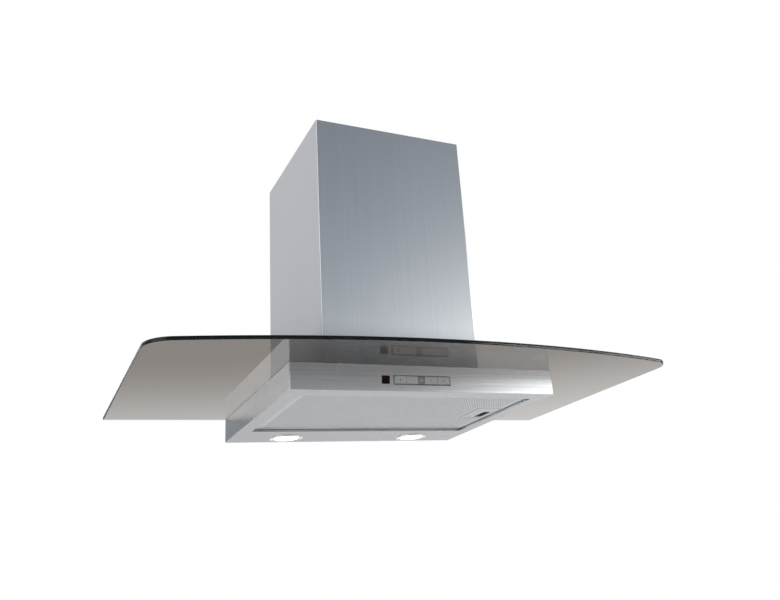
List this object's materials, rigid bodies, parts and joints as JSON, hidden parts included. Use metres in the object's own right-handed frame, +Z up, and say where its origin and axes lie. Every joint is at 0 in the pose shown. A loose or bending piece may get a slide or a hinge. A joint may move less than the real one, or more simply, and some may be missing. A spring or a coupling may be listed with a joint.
{
  "type": "curved glass range hood",
  "caption": "Wall range hood: flat smoked glass with a bowed front edge, low steel body with keys, lamps and a hinged grease filter, and a telescopic chimney.",
  "frame": {"origin": "centre of the four wall holes, on the wall", "axes": "+X to the right for a person facing the hood, +Y into the wall, +Z up"},
  "size_m": [0.898, 0.557, 0.5405],
  "materials": {
    "stainless_body": "brushed along the length of each panel",
    "stainless_chimney": "brushed horizontally",
    "smoked_glass": "clear polished, ground edge",
    "galvanised": "galvanised, dull spangle",
    "filter_steel": "perforated and satin",
    "filter_aluminium": "satin",
    "handle_steel": "satin",
    "dark_plastic": "fine texture",
    "black_plastic": "smooth",
    "grey_plastic": "fine texture",
    "white_plastic": "fine texture",
    "key_caps": "satin, silver",
    "key_middle": "satin, dark silver",
    "display_plastic": "clear dark red",
    "circuit_board": "solder mask",
    "rubber": "soft",
    "spring_steel": "bright",
    "fastener_steel": "zinc plated",
    "lamp_ring": "polished",
    "lamp_glass": "frosted",
    "motor_steel": "satin black paint"
  },
  "bodies": {
    "root": {"blower_box": "galvanised", "blower_sides": "galvanised", "board_carrier": "dark_plastic", "board_screws": "fastener_steel", "body_wrapper": "stainless_body", "cable_gland": "black_plastic", "capacitor": "filter_aluminium", "capacitor_strap": "galvanised", "chimney_clips": "galvanised", "chimney_lower": "stainless_chimney", "control_board": "circuit_board", "deck_plate": "galvanised", "display_module": "white_plastic", "display_window": "display_plastic", "filter_ears": "galvanised", "flap_pin": "spring_steel", "glass_bolts": "fastener_steel", "glass_bushes": "rubber", "glass_canopy": "smoked_glass", "glass_gasket": "rubber", "inlet_guard": "spring_steel", "key_bezel": "black_plastic", "key_domes": "rubber", "key_guide": "dark_plastic", "lamp_can_left": "grey_plastic", "lamp_can_right": "grey_plastic", "lamp_lens_left": "lamp_glass", "lamp_lens_right": "lamp_glass", "lamp_ring_left": "lamp_ring", "lamp_ring_right": "lamp_ring", "motor": "motor_steel", "motor_bracket": "galvanised", "motor_screws": "fastener_steel", "outlet_spigot": "dark_plastic", "rim_panel": "stainless_body", "scroll_left": "dark_plastic", "scroll_right": "dark_plastic", "spigot_screws": "fastener_steel", "terminal_box": "grey_plastic", "terminal_cover": "grey_plastic", "wall_plate": "galvanised"},
    "chimney_upper": {"chimney_upper": "stainless_chimney", "chimney_bracket": "galvanised"},
    "key_light": {"key_light": "key_caps"},
    "key_minus": {"key_minus": "key_caps"},
    "key_fan": {"key_fan": "key_middle"},
    "key_plus": {"key_plus": "key_caps"},
    "key_timer": {"key_timer": "key_caps"},
    "filter": {"filter_frame": "filter_aluminium", "filter_face": "filter_steel", "filter_media": "filter_aluminium", "filter_grid": "filter_steel", "filter_pivots": "spring_steel", "handle_plate": "handle_steel", "latch_spring": "spring_steel"},
    "latch": {"latch_slider": "dark_plastic"},
    "impeller": {"impeller": "dark_plastic", "motor_shaft": "spring_steel"},
    "flap_front": {"flap_front": "dark_plastic"},
    "flap_rear": {"flap_rear": "dark_plastic"}
  },
  "joints": [
    {"name": "chimney_slide", "type": "slide", "parent": "root", "child": "chimney_upper", "axis": [0, 0, 1], "range_m": [0, 0.38]},
    {"name": "key_light_press", "type": "slide", "parent": "root", "child": "key_light", "axis": [0, 1, 0], "range_m": [0, 0.0012], "stiffness_N_per_m": 600, "springref_m": -0.001},
    {"name": "key_minus_press", "type": "slide", "parent": "root", "child": "key_minus", "axis": [0, 1, 0], "range_m": [0, 0.0012], "stiffness_N_per_m": 600, "springref_m": -0.001},
    {"name": "key_fan_press", "type": "slide", "parent": "root", "child": "key_fan", "axis": [0, 1, 0], "range_m": [0, 0.0012], "stiffness_N_per_m": 600, "springref_m": -0.001},
    {"name": "key_plus_press", "type": "slide", "parent": "root", "child": "key_plus", "axis": [0, 1, 0], "range_m": [0, 0.0012], "stiffness_N_per_m": 600, "springref_m": -0.001},
    {"name": "key_timer_press", "type": "slide", "parent": "root", "child": "key_timer", "axis": [0, 1, 0], "range_m": [0, 0.0012], "stiffness_N_per_m": 600, "springref_m": -0.001},
    {"name": "filter_swing", "type": "hinge", "parent": "root", "child": "filter", "pos_m": [-0.203, -0.2455, -0.144], "axis": [0, 1, 0], "range_deg": [0, 80]},
    {"name": "latch_pull", "type": "slide", "parent": "filter", "child": "latch", "axis": [-1, 0, 0], "range_m": [0, 0.006], "stiffness_N_per_m": 400, "springref_m": -0.004, "deforming": ["latch_spring"]},
    {"name": "fan_spin", "type": "hinge", "parent": "root", "child": "impeller", "pos_m": [0, -0.14, 0.012], "axis": [1, 0, 0], "continuous": true},
    {"name": "flap_front_open", "type": "hinge", "parent": "root", "child": "flap_front", "pos_m": [0, -0.204, 0.163], "axis": [-1, 0, 0], "range_deg": [0, 70]},
    {"name": "flap_rear_open", "type": "hinge", "parent": "root", "child": "flap_rear", "pos_m": [0, -0.204, 0.163], "axis": [1, 0, 0], "range_deg": [0, 70]}
  ]
}
